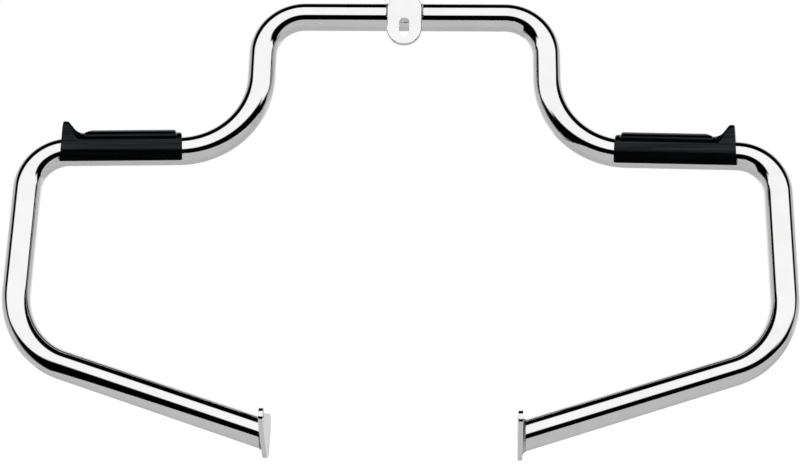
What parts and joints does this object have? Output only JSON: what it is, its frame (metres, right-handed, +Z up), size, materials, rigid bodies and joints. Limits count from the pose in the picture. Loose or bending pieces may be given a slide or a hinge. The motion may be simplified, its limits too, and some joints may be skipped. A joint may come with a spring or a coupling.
{
  "type": "motorcycle crash bar",
  "caption": "Bent chromed-tube crash bar for a cruiser, with a slotted top tab, bolted end plates and clip-on rubber foot pads.",
  "frame": {"origin": "middle of the top tab's slot, on the tab's rear face, which lies against the downtube", "axes": "+X to the rider's right, +Y forward, +Z up, as the bar stands on the machine"},
  "size_m": [0.8646, 0.3511, 0.5063],
  "materials": {
    "chrome_tube": "polished chrome plate on steel tube",
    "chrome_plate": "polished chrome plate on flat steel",
    "chrome_weld": "chrome plate over a weld bead",
    "pad_rubber": "moulded black rubber, satin"
  },
  "bodies": {
    "root": {"bar_tube": "chrome_tube", "centre_tab": "chrome_plate", "left_tab_weld": "chrome_weld", "right_tab_weld": "chrome_weld", "left_end_plate": "chrome_plate", "right_end_plate": "chrome_plate", "left_plate_weld": "chrome_weld", "right_plate_weld": "chrome_weld", "left_foot_pad": "pad_rubber", "right_foot_pad": "pad_rubber"}
  },
  "joints": []
}
